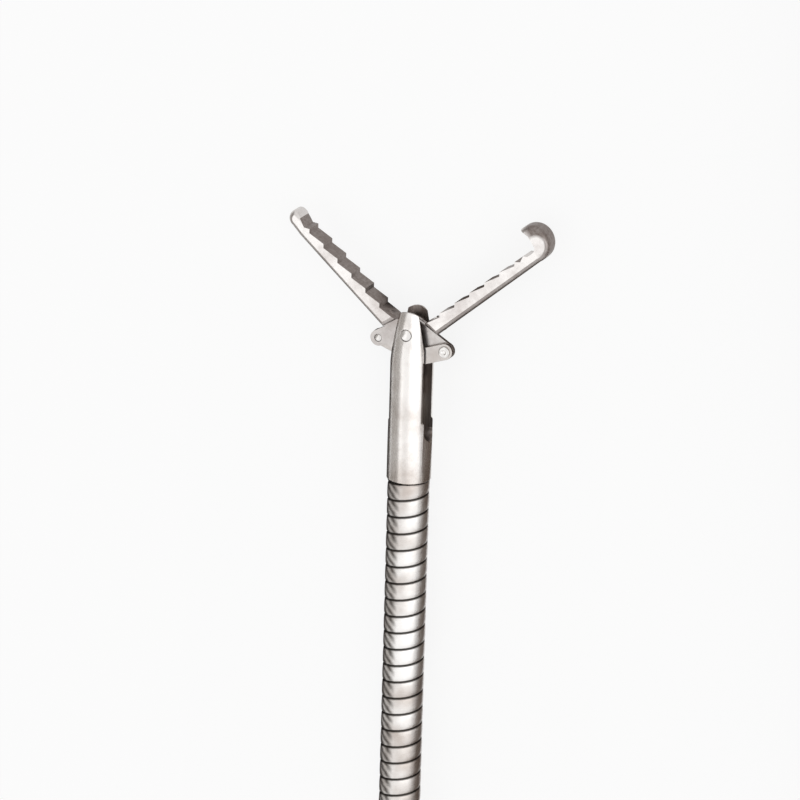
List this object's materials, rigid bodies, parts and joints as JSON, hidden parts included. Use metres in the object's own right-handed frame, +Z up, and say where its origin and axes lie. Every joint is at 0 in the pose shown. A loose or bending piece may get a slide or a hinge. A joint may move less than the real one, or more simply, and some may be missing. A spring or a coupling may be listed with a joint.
{
  "type": "flexible grasping forceps",
  "caption": "Flexible grasping forceps: toothed jaws with hooked tips on a double-action link, coil sheath and a finger-ring handle.",
  "frame": {"origin": "centre of the fixed finger ring's bore, at the level that the instrument lies on", "axes": "+Z up, along the fixed ring's bore; +Y from the neck towards the rings; +X towards the lever"},
  "size_m": [0.0966, 0.1276, 0.0058],
  "materials": {
    "polished_steel": "bright polished stainless steel",
    "sheath_steel": "close-wound flat stainless wire, drawn bright",
    "cable_steel": "stranded stainless cable",
    "handle_steel": "satin stainless steel",
    "silicone": "matt dark silicone"
  },
  "bodies": {
    "frame": {"fork": "polished_steel", "jaw_pivot_pin": "polished_steel", "sheath_distal": "sheath_steel", "sheath_coil": "sheath_steel", "sheath_proximal": "sheath_steel", "coil_tie": "silicone", "kink_guard": "silicone", "sheath_ferrule": "handle_steel", "clamp_nut": "handle_steel", "handle_body": "handle_steel", "lever_screw": "handle_steel"},
    "jaw_left": {"jaw_left": "polished_steel", "rivet_left": "polished_steel"},
    "jaw_right": {"jaw_right": "polished_steel", "rivet_right": "polished_steel"},
    "link_left": {"link_left": "polished_steel"},
    "link_right": {"link_right": "polished_steel"},
    "pull_block": {"pull_block": "polished_steel", "block_pin": "polished_steel", "pull_wire_tip": "cable_steel"},
    "lever": {"lever": "handle_steel"},
    "pull_rod": {"rod_fork": "handle_steel", "rod_pin": "handle_steel", "pull_rod": "handle_steel", "pull_wire_end": "cable_steel"}
  },
  "joints": [
    {"name": "lever_pivot", "type": "hinge", "parent": "frame", "child": "lever", "pos_m": [0.00555, -0.068, 0.0025], "axis": [0, 0, 1], "range_deg": [0, 16.8]},
    {"name": "jaw_left_pivot", "type": "hinge", "parent": "frame", "child": "jaw_left", "pos_m": [-0.028, -0.045, 0.00122], "axis": [0, 0, 1], "range_deg": [-50.02, 0]},
    {"name": "jaw_right_pivot", "type": "hinge", "parent": "frame", "child": "jaw_right", "pos_m": [-0.028, -0.045, 0.00122], "axis": [0, 0, 1], "range_deg": [0, 50.02]},
    {"name": "link_left_rivet", "type": "hinge", "parent": "jaw_left", "child": "link_left", "pos_m": [-0.02593, -0.04575, 0.00122], "axis": [0, 0, 1], "range_deg": [0, 100.02]},
    {"name": "link_right_rivet", "type": "hinge", "parent": "jaw_right", "child": "link_right", "pos_m": [-0.03007, -0.04575, 0.00122], "axis": [0, 0, 1], "range_deg": [-100.02, 0]},
    {"name": "block_pivot", "type": "hinge", "parent": "link_left", "child": "pull_block", "pos_m": [-0.028, -0.0465, 0.00122], "axis": [0, 0, 1], "range_deg": [-50.02, 0]},
    {"name": "rod_slide", "type": "slide", "parent": "frame", "child": "pull_rod", "axis": [0, 1, 0], "range_m": [0, 0.00264]}
  ],
  "couplings": [
    {"joint": "jaw_left_pivot", "follows": "lever_pivot", "ratio": -2.976},
    {"joint": "jaw_right_pivot", "follows": "lever_pivot", "ratio": 2.976},
    {"joint": "link_left_rivet", "follows": "lever_pivot", "ratio": 5.9519},
    {"joint": "link_right_rivet", "follows": "lever_pivot", "ratio": -5.9519},
    {"joint": "block_pivot", "follows": "lever_pivot", "ratio": -2.976},
    {"joint": "rod_slide", "follows": "lever_pivot", "m_per_rad": 0.0089678}
  ]
}
